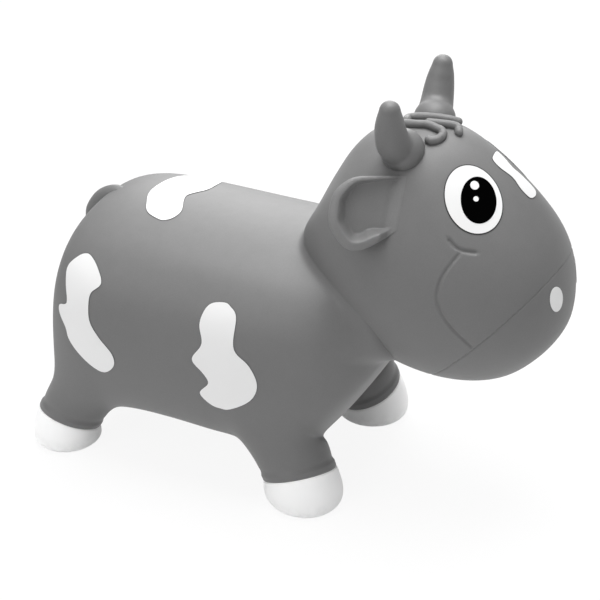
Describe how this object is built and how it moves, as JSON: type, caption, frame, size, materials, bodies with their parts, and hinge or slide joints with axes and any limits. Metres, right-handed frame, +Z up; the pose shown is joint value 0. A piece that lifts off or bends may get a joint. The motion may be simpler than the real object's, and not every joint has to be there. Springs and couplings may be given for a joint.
{
  "type": "bouncy ride-on animal",
  "caption": "Inflatable cow-shaped hopper: barrel trunk on short legs that squash when sat on, big head with smiling face, soft horns and ears that flex, tail nub and a belly air valve.",
  "frame": {"origin": "centre of the bounding box on the floor, under the belly", "axes": "+X towards the nose, +Y to the animal's left, +Z up"},
  "size_m": [0.5338, 0.2574, 0.425],
  "materials": {
    "torso_skin": "soft grey vinyl with a fine matt skin",
    "belly_skin": "soft grey vinyl with a fine matt skin",
    "leg_front_right": "soft grey vinyl with a fine matt skin",
    "leg_front_left": "soft grey vinyl with a fine matt skin",
    "leg_rear_right": "soft grey vinyl with a fine matt skin",
    "leg_rear_left": "soft grey vinyl with a fine matt skin",
    "head_skin": "soft grey vinyl with a fine matt skin",
    "snout_skin": "soft grey vinyl with a fine matt skin",
    "forelock_front": "soft grey vinyl with a fine matt skin",
    "forelock_middle": "soft grey vinyl with a fine matt skin",
    "forelock_back": "soft grey vinyl with a fine matt skin",
    "hoof_front_right": "soft white vinyl, satin",
    "hoof_front_left": "soft white vinyl, satin",
    "hoof_rear_right": "soft white vinyl, satin",
    "hoof_rear_left": "soft white vinyl, satin",
    "horn_right": "soft dark grey vinyl, matt",
    "horn_left": "soft dark grey vinyl, matt",
    "ear_right": "soft dark grey vinyl, matt",
    "ear_left": "soft dark grey vinyl, matt",
    "tail": "soft dark grey vinyl, matt",
    "eye_white_right": "white paint film on the vinyl",
    "eye_white_left": "white paint film on the vinyl",
    "glint_upper_right": "white paint film on the vinyl",
    "glint_upper_left": "white paint film on the vinyl",
    "glint_lower_right": "white paint film on the vinyl",
    "glint_lower_left": "white paint film on the vinyl",
    "nostril_right": "white paint film on the vinyl",
    "nostril_left": "white paint film on the vinyl",
    "forehead_spot": "white paint film on the vinyl",
    "flank_spot_right": "white paint film on the vinyl",
    "rear_spot_right": "white paint film on the vinyl",
    "back_spot": "white paint film on the vinyl",
    "shoulder_spot_left": "white paint film on the vinyl",
    "haunch_spot_left": "white paint film on the vinyl",
    "pupil_right": "black paint film, semi-gloss",
    "pupil_left": "black paint film, semi-gloss",
    "valve_seat": "moulded light grey plastic",
    "valve_plug": "moulded light grey plastic"
  },
  "bodies": {
    "feet": {"hoof_front_right": "hoof_front_right", "hoof_front_left": "hoof_front_left", "hoof_rear_right": "hoof_rear_right", "hoof_rear_left": "hoof_rear_left", "leg_front_right": "leg_front_right", "leg_front_left": "leg_front_left", "leg_rear_right": "leg_rear_right", "leg_rear_left": "leg_rear_left", "belly_skin": "belly_skin", "valve_seat": "valve_seat"},
    "trunk": {"torso_skin": "torso_skin", "head_skin": "head_skin", "snout_skin": "snout_skin", "tail": "tail", "forelock_front": "forelock_front", "forelock_middle": "forelock_middle", "forelock_back": "forelock_back", "eye_white_right": "eye_white_right", "eye_white_left": "eye_white_left", "glint_upper_right": "glint_upper_right", "glint_upper_left": "glint_upper_left", "glint_lower_right": "glint_lower_right", "glint_lower_left": "glint_lower_left", "pupil_right": "pupil_right", "pupil_left": "pupil_left", "nostril_right": "nostril_right", "nostril_left": "nostril_left", "forehead_spot": "forehead_spot", "flank_spot_right": "flank_spot_right", "rear_spot_right": "rear_spot_right", "back_spot": "back_spot", "shoulder_spot_left": "shoulder_spot_left", "haunch_spot_left": "haunch_spot_left"},
    "horn_right": {"horn_right": "horn_right"},
    "horn_left": {"horn_left": "horn_left"},
    "ear_right": {"ear_right": "ear_right"},
    "ear_left": {"ear_left": "ear_left"},
    "valve_plug": {"valve_plug": "valve_plug"}
  },
  "joints": [
    {"name": "bounce", "type": "slide", "parent": "feet", "child": "trunk", "axis": [0, 0, -1], "range_m": [0, 0.025], "stiffness_N_per_m": 10000, "springref_m": -0.002, "deforming": ["belly_skin", "leg_front_right", "leg_front_left", "leg_rear_right", "leg_rear_left"]},
    {"name": "horn_flex_right", "type": "hinge", "parent": "trunk", "child": "horn_right", "pos_m": [0.11455, -0.04056, 0.36822], "axis": [1, 0, 0], "range_deg": [-8, 8], "stiffness_Nm_per_rad": 2},
    {"name": "horn_flex_left", "type": "hinge", "parent": "trunk", "child": "horn_left", "pos_m": [0.11455, 0.04056, 0.36822], "axis": [1, 0, 0], "range_deg": [-8, 8], "stiffness_Nm_per_rad": 2},
    {"name": "ear_flap_right", "type": "hinge", "parent": "trunk", "child": "ear_right", "pos_m": [0.1238, -0.07275, 0.32475], "axis": [0.077, 0.4148, 0.9066], "range_deg": [-4, 25], "stiffness_Nm_per_rad": 0.3},
    {"name": "ear_flap_left", "type": "hinge", "parent": "trunk", "child": "ear_left", "pos_m": [0.1238, 0.07275, 0.32475], "axis": [-0.077, 0.4148, -0.9066], "range_deg": [-4, 25], "stiffness_Nm_per_rad": 0.3},
    {"name": "valve_plug_pull", "type": "slide", "parent": "feet", "child": "valve_plug", "axis": [0, 0, -1], "range_m": [0, 0.018]}
  ]
}
